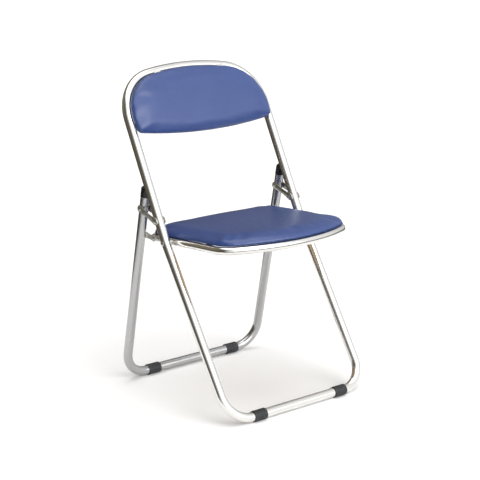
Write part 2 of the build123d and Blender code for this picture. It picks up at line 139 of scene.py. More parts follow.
class ChairTubes(PropertyGroup):
    """Bent tubes of the frame."""
    tube_wall: length("Tube wall", "Wall of the frame tubes", 1.2 * MM)
    front_corner: length("Front floor bend", "Bend between the front floor bar and the uprights", 64 * MM)
    rear_corner: length("Rear floor bend", "Bend between the rear floor bar and the rear legs", 62 * MM)
    pivot_bend: length("Upright bend", "Slight bend of the front uprights at the seat pivot", 130 * MM)
    bow_corner: length("Bow corner", "Bend at each corner of the top bow", 110 * MM)
    bow_crown: length("Bow crown", "Radius of the top bow's crown", 700 * MM)
    rail_radius: length("Rail radius", "Half the thickness of the seat rail", 9.55 * MM)
    rail_wall: length("Rail wall", "Wall of the seat rail", 1.0 * MM)
    rail_half_width: length("Rail half width", "Half width of the seat rail at the seat pivot", 180.5 * MM)
    rail_flare: share("Rail flare", "How much each side of the rail opens towards the knees", 0.0206)
    rail_front: length("Rail front", "Front of the rail's middle line from the seat pivot", 239.7 * MM)
    rail_corner: length("Rail corner", "Bend at each front corner of the rail", 46 * MM)
    rail_crown: length("Rail crown", "Radius of the rail's crowned front", 330 * MM)
    rail_rear: length("Rail rear", "Rear end of the rail behind the seat pivot", 84 * MM)
    chrome: colour("Chrome", "Bright plate of the front frame and the seat rail", (0.80, 0.79, 0.765))
    satin: colour("Satin chrome", "Softer plate of the rear legs", (0.46, 0.46, 0.465))


class ChairPads(PropertyGroup):
    """Seat and backrest cushions."""
    voxel: length("Remesh size", "Grid of the cushion blanks", 4.2 * MM, 3 * MM, 8 * MM)
    pressure: strength("Filling", "Pressure of the foam in the cover", 4.0, 12)
    frames: IntProperty(
        name="Frames", description="Length of the cloth simulation", default=20, min=2, max=40,
    )
    seat_cap: length("Seat swell", "Furthest that a point of the seat cover may swell", 5.0 * MM)
    back_cap: length("Backrest swell", "Furthest that a point of the backrest cover may swell", 4.5 * MM)
    staple_step: length("Staple step", "Space between the staples under a cushion", 21 * MM)
    vinyl: colour("Vinyl", "Cover of both cushions", (0.020, 0.046, 0.168))
    vinyl_light: colour("Worn vinyl", "Rubbed places of the cover", (0.028, 0.058, 0.196))
    board: colour("Board", "Plywood under the cushions", (0.52, 0.36, 0.20))


class ChairFittings(PropertyGroup):
    """Sleeves, link plates, screws and black mouldings."""
    sleeve_groove: length("Sleeve groove", "Depth of the grooves in the floor sleeves", 0.8 * MM)
    sleeve_slit: FloatProperty(
        name="Sleeve slit", description="Opening of the split floor sleeves",
        default=math.radians(24), min=0, max=math.radians(90), subtype="ANGLE",
    )
    link_width: length("Link width", "Width of a link plate at its rivets", 17 * MM)
    link_waist: length("Link waist", "Width of a link plate at its middle", 12 * MM)
    link_bead: length("Link bead", "Height of the pressed bead along an outer link plate", 1.1 * MM)
    screw_head: length("Screw head", "Radius of the pan heads", 4.2 * MM)
    steel: colour("Zinc plate", "Rivets, screws, tabs, links and brackets", (0.56, 0.55, 0.52))
    rubber: colour("Rubber", "Floor sleeves", (0.013, 0.014, 0.016))
    plastic: colour("Plastic", "Leg caps and rail plugs", (0.007, 0.007, 0.007))


class ChairStage(PropertyGroup):
    """Floor, light and camera."""
    floor: colour("Floor", "Pale floor", (0.90, 0.90, 0.90))
    bright: colour("Bright side", "Soft light on the open side of the studio", (1.0, 1.0, 1.0))
    dark: colour("Dark side", "Dim side of the studio", (0.185, 0.160, 0.122))
    overhead: strength("Overhead light", "Strength of the ceiling light", 2.75, 10)
    softbox: strength("Soft box", "Strength of the soft box on the open side", 4.4, 20)
    sky_strength: strength("Studio light", "Strength of the soft light", 1.0, 10)
    lens: length("Lens", "Focal length of the camera in metres", 105.6 * MM)


# ---------------------------------------------------------------- plain mesh helpers

def settings(context):
    """The four groups of sizes and colours."""
    scene = context.scene
    return scene.chair_tubes, scene.chair_pads, scene.chair_fittings, scene.chair_stage


def show(context, name, mesh, body, slot, smooth=40):
    """A shown piece with the finish of its slot, riding on a body of the frame."""
    piece = bpy.data.objects.new(name, mesh)
    context.scene.collection.objects.link(piece)
    mesh.materials.clear()
    mesh.materials.append(finish_for(context, slot))
    mesh.polygons.foreach_set("use_smooth", [True] * len(mesh.polygons))
    if smooth:
        mesh.set_sharp_from_angle(angle=math.radians(smooth))
    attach(piece, body)
    return piece


def to_mesh(name, bm, place=None):
    """A mesh from a bmesh, moved to its place, with its faces turned outwards."""
    if place is not None:
        bm.transform(place)
    bmesh.ops.recalc_face_normals(bm, faces=bm.faces)
    mesh = bpy.data.meshes.new(name)
    bm.to_mesh(mesh)
    bm.free()
    return mesh


def join_rings(bm, rings, closed=False):
    """Quads between rings of equal length, with flat ends unless the rings close on themselves."""
    pairs = list(zip(rings, rings[1:]))
    if closed:
        pairs.append((rings[-1], rings[0]))
    for low, high in pairs:
        for i in range(len(low)):
            j = (i + 1) % len(low)
            bm.faces.new((low[i], low[j], high[j], high[i]))
    if not closed:
        bm.faces.new(list(reversed(rings[0])))
        bm.faces.new(rings[-1])


def arc(centre, radius, start, end, count=0):
    """Points of a flat arc with both its ends."""
    step = min(math.radians(4), 7 * MM / radius)
    count = count or max(2, math.ceil(abs(end - start) / step))
    angles = [start + (end - start) * i / count for i in range(count + 1)]
    return [Vector((centre[0] + radius * math.cos(a), centre[1] + radius * math.sin(a))) for a in angles]


def arch(half_width, flare, corner_r, crown_r, top, counts=(0, 0)):
    """Crowned arch from its right side round to its left, as flat points."""
    slant = math.hypot(1, flare)
    crown_y = top - crown_r
    inset = half_width - corner_r * slant
    half_b = inset * flare - crown_y
    rest = inset ** 2 + crown_y ** 2 - (crown_r - corner_r) ** 2
    centre_y = (-half_b + math.sqrt(half_b ** 2 - slant ** 2 * rest)) / slant ** 2
    centre = (inset + flare * centre_y, centre_y)
    high = math.atan2(centre_y - crown_y, centre[0])
    half = arc(centre, corner_r, -math.atan(flare), high, counts[0])
    half += arc((0, crown_y), crown_r, high, math.pi / 2, counts[1])[1:]
    return half + [Vector((-p.x, p.y)) for p in reversed(half[:-1])]


def rounded(corners):
    """Points through (corner, radius) pairs, each inner corner rounded to its radius."""
    points = [corners[0][0]]
    for (before, _), (corner, radius), (after, _) in zip(corners, corners[1:], corners[2:]):
        back = (before - corner).normalized()
        ahead = (after - corner).normalized()
        turn = math.pi - back.angle(ahead)
        reach = radius * math.tan(turn / 2)
        centre = corner + (back + ahead).normalized() * radius / math.cos(turn / 2)
        start = corner + back * reach - centre
        end = corner + ahead * reach - centre
        axis = start.cross(end).normalized()
        count = max(3, math.ceil(turn / math.radians(4)))
        points += [centre + Matrix.Rotation(turn * i / count, 3, axis) @ start for i in range(count + 1)]
    return points + [corners[-1][0]]


def frames_along(points, closed):
    """A pair of crossways directions at each point, carried along without twist."""
    count = len(points)
    tangents = []
    for i in range(count):
        before = points[i - 1] if closed or i else points[i]
        after = points[(i + 1) % count] if closed or i < count - 1 else points[i]
        tangents.append((after - before).normalized())
    side = tangents[0].cross(Vector((0.31, 0.95, 0.07))).normalized()
    frames = []
    for i, tangent in enumerate(tangents):
        if i:
            side = tangents[i - 1].rotation_difference(tangent) @ side
            side = (side - tangent * side.dot(tangent)).normalized()
        frames.append((side.copy(), tangent.cross(side)))
    return frames, tangents


def add_tube(bm, points, radius, wall=0.0, closed=False, sides=40):
    """A round tube along points; open ends have a rolled lip and a bore, or a flat end without a wall."""
    frames, tangents = frames_along(points, closed)

    def ring(i, r, shift=0.0):
        side, other = frames[i]
        centre = points[i] + tangents[i] * shift
        turns = [2 * math.pi * k / sides for k in range(sides)]
        return [bm.verts.new(centre + side * (r * math.cos(t)) + other * (r * math.sin(t))) for t in turns]

    body = [ring(i, radius) for i in range(1, len(points) - 1)]
    if closed:
        join_rings(bm, [ring(0, radius)] + body + [ring(len(points) - 1, radius)], closed=True)
        return
    lip = 0.35 * (wall or radius * 0.4)
    first = [ring(0, radius - lip), ring(0, radius, lip)]
    last = [ring(-1, radius, -lip), ring(-1, radius - lip)]
    if wall:
        depth = 12 * wall
        bore = radius - wall
        first = [ring(0, bore, depth), ring(0, bore, lip), ring(0, bore + lip)] + first
        last += [ring(-1, bore + lip), ring(-1, bore, -lip), ring(-1, bore, -depth)]
    join_rings(bm, first + body + last)


def show_tube(context, name, body, slot, replaced, points, radius, **options):
    """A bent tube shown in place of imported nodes."""
    bm = bmesh.new()
    add_tube(bm, points, radius, **options)
    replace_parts(show(context, name, to_mesh(name, bm), body, slot), *replaced)


def add_bead(bm, start, end, half_width, height, base):
    """A closed pressed bead along x, bulging from a plate's face in the direction of the height."""
    stations = 20
    turns = [math.pi * k / 10 for k in range(11)]
    rings = []
    for i in range(1, stations):
        full = math.sin(math.pi * i / stations) ** 0.35
        x = start + (end - start) * i / stations
        wide, tall = half_width * full, height * full
        rings.append([bm.verts.new((x, wide * math.cos(t), base + tall * math.sin(t))) for t in turns])
    join_rings(bm, rings)


def plate_mesh(name, outline, thick, bevel, place, bead=None):
    """A flat plate with eased edges from a flat outline, and a bead if one is given."""
    bm = bmesh.new()
    face = bm.faces.new([bm.verts.new((p[0], p[1], 0)) for p in outline])
    made = bmesh.ops.extrude_face_region(bm, geom=[face])
    top = [v for v in made["geom"] if isinstance(v, bmesh.types.BMVert)]
    bmesh.ops.translate(bm, verts=top, vec=(0, 0, thick))
    rims = [e for e in bm.edges if abs(e.verts[0].co.z - e.verts[1].co.z) < thick / 2]
    bmesh.ops.bevel(bm, geom=rims, offset=bevel, segments=3, profile=0.5, affect="EDGES")
    if bead:
        add_bead(bm, *bead)
    return to_mesh(name, bm, place)


# ---------------------------------------------------------------- finishes

def node(tree, kind, inputs=None, **values):
    """Adds a shader node and fills its values and inputs."""
    made = tree.nodes.new(kind)
    for key, value in values.items():
        setattr(made, key, value)
    for key, value in (inputs or {}).items():
        if isinstance(value, bpy.types.NodeSocket):
            tree.links.new(value, made.inputs[key])
        else:
            made.inputs[key].default_value = value
    return made


def finish(name, sockets):
    """A new material with its main shader and the object's own coordinates."""
    material = bpy.data.materials.new(name)
    material.use_nodes = True
    tree = material.node_tree
    shader = tree.nodes["Principled BSDF"]
    for key, value in sockets.items():
        shader.inputs[key].default_value = value
    place = node(tree, "ShaderNodeTexCoord").outputs["Object"]
    return material, tree, shader, place


def noise(tree, place, scale, detail=4.0, rough=0.55, stretch=None):
    """Noise value from 0 to 1 in the object's own space."""
    if stretch:
        place = node(tree, "ShaderNodeMapping", {"Vector": place, "Scale": stretch}).outputs["Vector"]
    inputs = {"Vector": place, "Scale": scale, "Detail": detail, "Roughness": rough}
    return node(tree, "ShaderNodeTexNoise", inputs).outputs["Fac"]


def ramp(tree, value, low, high, out_low, out_high):
    """A value spread from one range to another."""
    inputs = {"Value": value, "From Min": low, "From Max": high, "To Min": out_low, "To Max": out_high}
    return node(tree, "ShaderNodeMapRange", inputs).outputs["Result"]


def maths(tree, operation, first, second):
    """Two values put together by a math node."""
    return node(tree, "ShaderNodeMath", {0: first, 1: second}, operation=operation).outputs[0]


def vector_maths(tree, operation, inputs, output="Vector"):
    """The result of a vector math node."""
    return node(tree, "ShaderNodeVectorMath", inputs, operation=operation).outputs[output]


def product(tree, values):
    """Several values multiplied together."""
    total = values[0]
    for value in values[1:]:
        total = maths(tree, "MULTIPLY", total, value)
    return total


def blend(tree, factor, first, second):
    """A colour between two colours."""
    made = node(tree, "ShaderNodeMix", data_type="RGBA")
    for key, value in (("Factor", factor), ("A", first), ("B", second)):
        socket = next(s for s in made.inputs if s.name == key and (s.type == "RGBA" or key == "Factor"))
        if isinstance(value, bpy.types.NodeSocket):
            tree.links.new(value, socket)
        else:
            socket.default_value = value
    return next(s for s in made.outputs if s.type == "RGBA")


def rgba(value, gain=1.0):
    """A four-number colour, lighter or darker by a gain."""
    return (*[min(1.0, c * gain) for c in value], 1.0)


def bump(tree, shader, layers):
    """Stacks bumps of (height, strength, distance) on a shader."""
    normal = None
    for height, strength, distance in layers:
        inputs = {"Height": height, "Strength": strength, "Distance": distance}
        if normal is not None:
            inputs["Normal"] = normal
        normal = node(tree, "ShaderNodeBump", inputs).outputs["Normal"]
    tree.links.new(normal, shader.inputs["Normal"])


def plated_steel(name, tint, rough_low, rough_high, mottling):
    """Plated steel with soft smudges, fine polishing marks and small pits."""
    material, tree, shader, place = finish(name, {"Metallic": 1.0})
    smudge = noise(tree, place, 22, 2)
    grain = noise(tree, place, 420, 3)
    pits = noise(tree, place, 1500, 2)
    clouding = ramp(tree, smudge, 0.3, 0.7, 0, 1)
    mixed = blend(tree, clouding, rgba(tint, 1 - mottling), rgba(tint, 1 + mottling))
    tree.links.new(mixed, shader.inputs["Base Color"])
    rough = ramp(tree, smudge, 0.35, 0.68, rough_low, rough_high)
    flecks = ramp(tree, pits, 0.62, 0.75, 0, 0.12)
    tree.links.new(maths(tree, "ADD", rough, flecks), shader.inputs["Roughness"])
    bump(tree, shader, [(grain, 0.05, 0.1 * MM)])
    return material


def pressed_vinyl(name, base, light):
    """Cover vinyl with a pressed leather grain whose creases are darkened as painted shade, fine pores and
    rubbed places.
    """
    material, tree, shader, place = finish(name, {"Specular IOR Level": 0.58})
    drift = noise(tree, place, 9, 3)
    mottle = noise(tree, place, 130, 4)
    wobble = node(tree, "ShaderNodeTexNoise", {"Vector": place, "Scale": 260.0, "Detail": 2.0})
    bent = blend(tree, 0.0035, place, wobble.outputs["Color"])
    cells = node(tree, "ShaderNodeTexVoronoi", {"Vector": bent, "Scale": 620.0}, feature="DISTANCE_TO_EDGE")
    crease = ramp(tree, cells.outputs["Distance"], 0.0, 0.16, 0, 1)
    pores = noise(tree, place, 2600, 2)
    mixed = blend(tree, ramp(tree, drift, 0.32, 0.68, 0, 1), rgba(base), rgba(light))
    mixed = blend(tree, ramp(tree, mottle, 0.35, 0.75, 0, 0.35), mixed, rgba(light, 1.12))
    # Painted shade: the creases between the grain's cells are darkened towards half the base colour.
    mixed = blend(tree, ramp(tree, crease, 0, 1, 0.22, 0), mixed, rgba(base, 0.5))
    tree.links.new(mixed, shader.inputs["Base Color"])
    tree.links.new(ramp(tree, mottle, 0.3, 0.7, 0.31, 0.40), shader.inputs["Roughness"])
    bump(tree, shader, [(crease, 0.22, 0.12 * MM), (pores, 0.12, 0.05 * MM), (mottle, 0.10, 0.5 * MM)])
    return material


def plain_board(name, tint):
    """Rotary-cut plywood with long figure, pores and a few dark streaks."""
    material, tree, shader, place = finish(name, {"Specular IOR Level": 0.3})
    figure = noise(tree, place, 9, 6, 0.6, stretch=(1.0, 9.0, 9.0))
    pores = noise(tree, place, 160, 3, 0.5, stretch=(0.06, 1.0, 1.0))
    mixed = blend(tree, ramp(tree, figure, 0.3, 0.7, 0, 1), rgba(tint, 0.72), rgba(tint, 1.15))
    mixed = blend(tree, ramp(tree, pores, 0.58, 0.72, 0, 0.5), mixed, rgba(tint, 0.4))
    tree.links.new(mixed, shader.inputs["Base Color"])
    tree.links.new(ramp(tree, figure, 0.3, 0.7, 0.62, 0.78), shader.inputs["Roughness"])
    bump(tree, shader, [(pores, 0.25, 0.15 * MM), (figure, 0.1, 0.3 * MM)])
    return material


def black_moulding(name, tint, rough_low, rough_high, grit):
    """Black rubber or plastic with a fine spark-eroded skin and dusty scuffs."""
    material, tree, shader, place = finish(name, {"Specular IOR Level": 0.5})
    scuff = noise(tree, place, 90, 5, 0.65)
    skin = noise(tree, place, grit, 2)
    mixed = blend(tree, ramp(tree, scuff, 0.5, 0.78, 0, 0.5), rgba(tint), rgba(tint, 2.6))
    tree.links.new(mixed, shader.inputs["Base Color"])
    tree.links.new(ramp(tree, scuff, 0.3, 0.7, rough_low, rough_high), shader.inputs["Roughness"])
    bump(tree, shader, [(skin, 0.3, 0.06 * MM), (scuff, 0.08, 0.3 * MM)])
    return material


def pale_floor(name, tint):
    """Matt studio floor with a faint unevenness."""
    material, tree, shader, place = finish(name, {"Specular IOR Level": 0.1})
    cloud = noise(tree, place, 1.3, 3)
    mixed = blend(tree, ramp(tree, cloud, 0.3, 0.7, 0, 1), rgba(tint, 0.985), rgba(tint, 1.0))
    tree.links.new(mixed, shader.inputs["Base Color"])
    tree.links.new(ramp(tree, cloud, 0.3, 0.7, 0.8, 0.9), shader.inputs["Roughness"])
    return material


FINISHES = {
    "chrome_tube": lambda tube, pad, fit: plated_steel("Chrome_tube", tube.chrome, 0.12, 0.18, 0.015),
    "satin_tube": lambda tube, pad, fit: plated_steel("Satin_tube", tube.satin, 0.22, 0.28, 0.02),
    "bright_steel": lambda tube, pad, fit: plated_steel("Zinc_steel", fit.steel, 0.22, 0.42, 0.10),
    "blue_vinyl": lambda tube, pad, fit: pressed_vinyl("Blue_vinyl", pad.vinyl, pad.vinyl_light),
    "plywood": lambda tube, pad, fit: plain_board("Plywood", pad.board),
    "black_rubber": lambda tube, pad, fit: black_moulding("Black_rubber", fit.rubber, 0.42, 0.62, 1400),
    "black_plastic": lambda tube, pad, fit: black_moulding("Black_plastic", fit.plastic, 0.22, 0.36, 2200),
}
made_finishes = {}


def finish_for(context, slot):
    """The finish of a material slot, made once."""
    if slot not in made_finishes:
        tubes, pads, fits, _ = settings(context)
        made_finishes[slot] = FINISHES[slot](tubes, pads, fits)
    return made_finishes[slot]


def coat(context, slot, *nodes):
    """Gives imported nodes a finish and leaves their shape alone."""
    for name in nodes:
        target = frame["nodes"][name]
        if not target.material_slots:
            target.data.materials.append(None)
        for place in target.material_slots:
            place.material = finish_for(context, slot)


def both(*names):
    """Names of the left and right nodes of each name."""
    return [f"{name}_{side}" for name in names for side in SIDES]


# ---------------------------------------------------------------- tubes

def in_plane(plane, x, y, z=0.0):
    """A point given in a loop's own plane."""
    return plane @ Vector((x, y, z))


class CHAIR_OT_front_loop(Operator):
    """Builds the front loop: floor bar, leaning uprights and crowned top bow"""
    bl_idname = "chair.front_loop"
    bl_label = "Front Loop"

    def execute(self, context):
        tubes = settings(context)[0]
        bow_top = node_box("top_bow")[1]
        height = (bow_top.z - SEAT_PIVOT.z - TUBE_R) / back_plane.col[1].z
        leg = (SEAT_PIVOT - FRONT_BAR).length
        bow = arch(TUBE_X, 0, tubes.bow_corner, tubes.bow_crown, height)
        bow = [in_plane(back_plane, p.x, p.y) for p in bow]
        half = rounded([
            (in_plane(front_plane, 0, -leg), 0),
            (in_plane(front_plane, TUBE_X, -leg), tubes.front_corner),
            (in_plane(front_plane, TUBE_X, 0), tubes.pivot_bend),
            (bow[0], 0),
        ])
        other = [Vector((-p.x, p.y, p.z)) for p in reversed(half[1:-1])]
        replaced = ["front_foot_bar", "top_bow", *both("front_upright")]
        points = half[:-1] + bow + other
        show_tube(context, "front_loop", "front_frame", "chrome_tube", replaced, points, TUBE_R, closed=True)
        return {"FINISHED"}


class CHAIR_OT_rear_loop(Operator):
    """Builds the rear loop: floor bar and two straight legs, open at the top"""
    bl_idname = "chair.rear_loop"
    bl_label = "Rear Loop"

    def execute(self, context):
        tubes = settings(context)[0]
        up = leg_plane.col[1].to_3d()
        lean = math.acos(up.z)
        reach = (leg_high.z - TUBE_R * math.sin(lean) - REAR_BAR.z) / up.z
        points = rounded([
            (in_plane(leg_plane, -TUBE_X, reach), 0),
            (in_plane(leg_plane, -TUBE_X, 0), tubes.rear_corner),
            (in_plane(leg_plane, TUBE_X, 0), tubes.rear_corner),
            (in_plane(leg_plane, TUBE_X, reach), 0),
        ])
        replaced = ["rear_foot_bar", *both("rear_leg")]
        show_tube(context, "rear_loop", "rear_legs", "satin_tube", replaced, points, TUBE_R,
                  wall=tubes.tube_wall)
        return {"FINISHED"}


class CHAIR_OT_seat_rail(Operator):
    """Builds the seat rail: two flared sides and a crowned front, open at the rear"""
    bl_idname = "chair.seat_rail"
    bl_label = "Seat Rail"

    def execute(self, context):
        tubes = settings(context)[0]
        half_width = tubes.rail_half_width
        front = arch(half_width, tubes.rail_flare, tubes.rail_corner, tubes.rail_crown, tubes.rail_front)
        rear_x = half_width - tubes.rail_flare * tubes.rail_rear
        flat = [Vector((rear_x, -tubes.rail_rear)), *front, Vector((-rear_x, -tubes.rail_rear))]
        points = [in_plane(seat_plane, p.x, p.y) for p in flat]
        replaced = ["seat_rail_front", *both("seat_rail")]
        show_tube(context, "seat_rail", "seat", "chrome_tube", replaced, points, tubes.rail_radius,
                  wall=tubes.rail_wall, sides=36)
        return {"FINISHED"}


# ---------------------------------------------------------------- cushions

class PadPlan:
    """Plan of a cushion in its own plane: crowned at both ends, with rounded corners."""

    def __init__(self, half_width, front, rear, front_corner, rear_corner, front_crown, rear_crown):
        self.half_width = half_width * MM
        self.ends = [
            (front * MM, front_corner * MM, front_crown * MM, 1),
            (rear * MM, rear_corner * MM, rear_crown * MM, -1),
        ]

    def outline(self, inset=0.0, counts=(14, 18)):
        """Points round the plan, set in by a margin."""
        points = []
        for reach, corner_r, crown_r, way in self.ends:
            corner_r = max(corner_r - inset, 0.8 * MM)
            end = arch(self.half_width - inset, 0, corner_r, crown_r - inset, reach - inset, counts)
            points += [Vector((way * p.x, way * p.y)) for p in end]
        return points


SEAT_PLAN = PadPlan(187, 246.5, 98, 52, 30, 330, 3000)
BACK_PLAN = PadPlan(204, 418, -250.5, 107, 16, 694, 1300)
CROWN_REACH = 85 * MM
PAD_SWELL = 2.2 * MM
PAD_MARGIN = 0.5 * MM
EVENING_ROUNDS = 60
BOARD_SETTLE = 9 * MM


def depth_inside(points, loop):
    """Distance of flat points inside a closed outline; negative outside."""
    a = np.array([[p.x, p.y] for p in loop])
    b = np.roll(a, -1, axis=0)
    best = np.full(len(points), 1e9)
    inside = np.zeros(len(points), bool)
    for start, end in zip(a, b):
        along = end - start
        t = np.clip(((points - start) @ along) / max(along @ along, 1e-12), 0, 1)
        best = np.minimum(best, np.linalg.norm(points - start - t[:, None] * along, axis=1))
        crosses = (start[1] > points[:, 1]) != (end[1] > points[:, 1])
        rise = along[1] if abs(along[1]) > 1e-12 else 1e-12
        inside ^= crosses & (points[:, 0] < start[0] + (points[:, 1] - start[1]) * along[0] / rise)
    return np.where(inside, best, -best)


def coordinates(mesh):
    """Vertex places of a mesh as an array."""
    places = np.zeros(len(mesh.vertices) * 3)
    mesh.vertices.foreach_get("co", places)
    return places.reshape(-1, 3)


def place_points(mesh, places):
    """Moves the vertices of a mesh to new places."""
    mesh.vertices.foreach_set("co", places.ravel())
    mesh.update()


def evaluated_mesh(piece):
    """The mesh of a piece with its modifiers applied."""
    graph = bpy.context.evaluated_depsgraph_get()
    return bpy.data.meshes.new_from_object(piece.evaluated_get(graph))


def apply_modifiers(piece):
    """Bakes the modifiers of a piece into its mesh."""
    mesh = evaluated_mesh(piece)
    piece.modifiers.clear()
    piece.data = mesh


def pad_blank(name, plan, profile, voxel):
    """The cut foam of a cushion, as an even grid."""
    bm = bmesh.new()
    rings = [[bm.verts.new((p.x, p.y, z)) for p in plan.outline(inset)] for inset, z in profile]
    join_rings(bm, rings)
    blank = bpy.data.objects.new(name, to_mesh(name, bm))
    bpy.context.scene.collection.objects.link(blank)
    remesh = blank.modifiers.new("Remesh", "REMESH")
    remesh.mode = "VOXEL"
    remesh.voxel_size = voxel
    apply_modifiers(blank)
    return blank


def relax(piece, rounds, free):
    """Evens out a mesh without shrinking it, leaving the points outside the free mask where they are."""
    mesh = piece.data
    places = coordinates(mesh)
    edges = np.zeros(len(mesh.edges) * 2, int)
    mesh.edges.foreach_get("vertices", edges)
    edges = edges.reshape(-1, 2)
    count = np.bincount(edges.ravel(), minlength=len(places))[:, None]
    for step in (0.5, -0.52) * rounds:
        total = np.zeros_like(places)
        np.add.at(total, edges[:, 0], places[edges[:, 1]])
        np.add.at(total, edges[:, 1], places[edges[:, 0]])
        places = np.where(free[:, None], places + step * (total / count - places), places)
    place_points(mesh, places)


def inflate(piece, floor_z, pads, cap):
    """Swells a cushion blank as cloth under pressure, held where it lies on its board."""
    start = coordinates(piece.data)
    held = [int(i) for i in np.nonzero(start[:, 2] < floor_z + 0.8 * MM)[0]]
    group = piece.vertex_groups.new(name="on_board")
    group.add(held, 1.0, "REPLACE")
    cloth = piece.modifiers.new("Cloth", "CLOTH")
    cloth.settings.use_pressure = True
    cloth.settings.uniform_pressure_force = pads.pressure
    cloth.settings.effector_weights.gravity = 0.0
    cloth.settings.vertex_group_mass = group.name
    cloth.settings.quality = 5
    cloth.settings.tension_stiffness = 25
    cloth.settings.compression_stiffness = 25
    cloth.settings.bending_stiffness = 2
    cloth.point_cache.frame_start = 1
    cloth.point_cache.frame_end = pads.frames
    scene = bpy.context.scene
    scene.frame_start = 1
    scene.frame_end = pads.frames
    for step in range(1, pads.frames + 1):
        scene.frame_set(step)
    settled = coordinates(evaluated_mesh(piece))
    piece.modifiers.clear()
    piece.vertex_groups.clear()
    scene.frame_set(1)
    moved = settled - start
    far = np.linalg.norm(moved, axis=1, keepdims=True)
    eased = cap * np.tanh(far / cap)
    result = start + moved * eased / np.maximum(far, 1e-9)
    place_points(piece.data, result)


def crown(piece, plan, low, high, drop):
    """Eases the top of a cushion down towards its edges, so that it is fullest in the middle."""
    places = coordinates(piece.data)
    edge = 1 - np.clip(depth_inside(places[:, :2], plan.outline()) / CROWN_REACH, 0, 1)
    up = np.clip((places[:, 2] - low) / (high - low), 0, 1)
    places[:, 2] -= drop * edge ** 2 * up
    place_points(piece.data, places)


def hollow_for_board(piece, plan, floor_z, board_top, inset):
    """Lifts the middle of a cushion's underside onto its board."""
    places = coordinates(piece.data)
    depth = depth_inside(places[:, :2], plan.outline(inset))
    under = (places[:, 2] < floor_z + 1.2 * MM) & (depth > -0.4 * MM)
    places[under, 2] = board_top
    place_points(piece.data, places)


def cushion(context, name, body, plan, plane, heights, cap):
    """Remeshed, swollen and smoothed cushion in its place on the chair."""
    pads = settings(context)[1]
    low, high, board_top, rounding, drop = heights
    swell = PAD_SWELL
    margin = PAD_MARGIN
    top = high - swell
    steps = [math.radians(a) for a in (0, 20, 40, 60, 75, 90)]
    profile = [(margin + 1.2 * MM, low), (margin + 0.3 * MM, low + 0.4 * MM), (margin, low + 1.4 * MM)]
    profile += [(margin + rounding * (1 - math.cos(a)), top - rounding * (1 - math.sin(a))) for a in steps]
    piece = pad_blank(name, plan, profile, pads.voxel)
    inflate(piece, low, pads, cap)
    free = coordinates(piece.data)[:, 2] > low + 1.0 * MM
    relax(piece, EVENING_ROUNDS, free)
    crown(piece, plan, low, high, drop)
    smooth = piece.modifiers.new("Subdivision", "SUBSURF")
    smooth.levels = 1
    smooth.render_levels = 1
    apply_modifiers(piece)
    hollow_for_board(piece, plan, low, board_top, BOARD_SETTLE)
    mesh = piece.data
    bpy.data.objects.remove(piece)
    mesh.transform(plane)
    mesh.name = name
    made = show(context, name, mesh, body, "blue_vinyl", smooth=0)
    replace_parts(made, name)
    return made


class CHAIR_OT_seat_cushion(Operator):
    """Builds the seat cushion: foam and vinyl pulled over its board"""
    bl_idname = "chair.seat_cushion"
    bl_label = "Seat Cushion"

    def execute(self, context):
        pads = settings(context)[1]
        heights = (11.2 * MM, 31.0 * MM, 15.75 * MM, 11.5 * MM, 3.5 * MM)
        cushion(context, "seat_cushion", "seat", SEAT_PLAN, seat_plane, heights, pads.seat_cap)
        return {"FINISHED"}


class CHAIR_OT_backrest_cushion(Operator):
    """Builds the backrest cushion: foam and vinyl pulled over its board"""
    bl_idname = "chair.backrest_cushion"
    bl_label = "Backrest Cushion"

    def execute(self, context):
        pads = settings(context)[1]
        heights = (12.2 * MM, 31.0 * MM, 16.35 * MM, 9.0 * MM, 4.0 * MM)
        cushion(context, "backrest_cushion", "front_frame", BACK_PLAN, back_plane, heights,
                pads.back_cap)
        return {"FINISHED"}


# ---------------------------------------------------------------- boards, hems and staples

def fastener_places(node_name, plane):
    """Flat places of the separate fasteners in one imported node."""
    inverse = plane.inverted()
    places = []
    for vertex in frame["nodes"][node_name].data.vertices:
        local = inverse @ vertex.co
        for group in places:
            if math.hypot(local.x - group[0][0], local.y - group[0][1]) < 12 * MM:
                group.append((local.x, local.y, local.z))
                break
        else:
            places.append([(local.x, local.y, local.z)])
    spans = [(np.min(group, axis=0), np.max(group, axis=0)) for group in places]
    return [((low + high) / 2, low[2]) for low, high in spans]


def hem_mesh(name, plan, plane, board_low, pad_low):
    """Vinyl turned under the board, with tucks at the corners."""
    section = [
        (0.9, pad_low + 0.7), (2.6, pad_low - 0.1), (6.0, board_low + 0.2), (9.0, board_low - 0.2),
        (12.0, board_low - 0.45), (22.0, board_low - 0.5), (29.5, board_low - 0.5), (30.0, board_low - 0.3),
        (29.5, board_low - 0.06), (9.6, board_low - 0.05), (8.6, board_low + 0.6), (6.0, board_low + 0.75),
        (2.8, pad_low + 0.5), (1.4, pad_low + 1.2),
    ]
    counts = (40, 36)
    bm = bmesh.new()
    loops = [plan.outline(inset * MM, counts) for inset, _ in section]
    sizes = [counts[0], 2 * counts[1], counts[0]]
    rings = []
    for i in range(len(loops[0])):
        place = i % (sum(sizes) + 1)
        on_corner = place <= sizes[0] or place >= sizes[0] + sizes[1]
        ring = []
        for (inset, z), loop in zip(section, loops):
            tuck = 0.0
            if on_corner and z < board_low and inset > 11:
                tuck = 0.45 * (0.5 + 0.5 * math.sin(i * 1.9)) * min(1, (inset - 11) / 12)
            ring.append(bm.verts.new((loop[i].x, loop[i].y, (z - tuck) * MM)))
        rings.append(ring)
    join_rings(bm, rings, closed=True)
    return to_mesh(name, bm, plane)


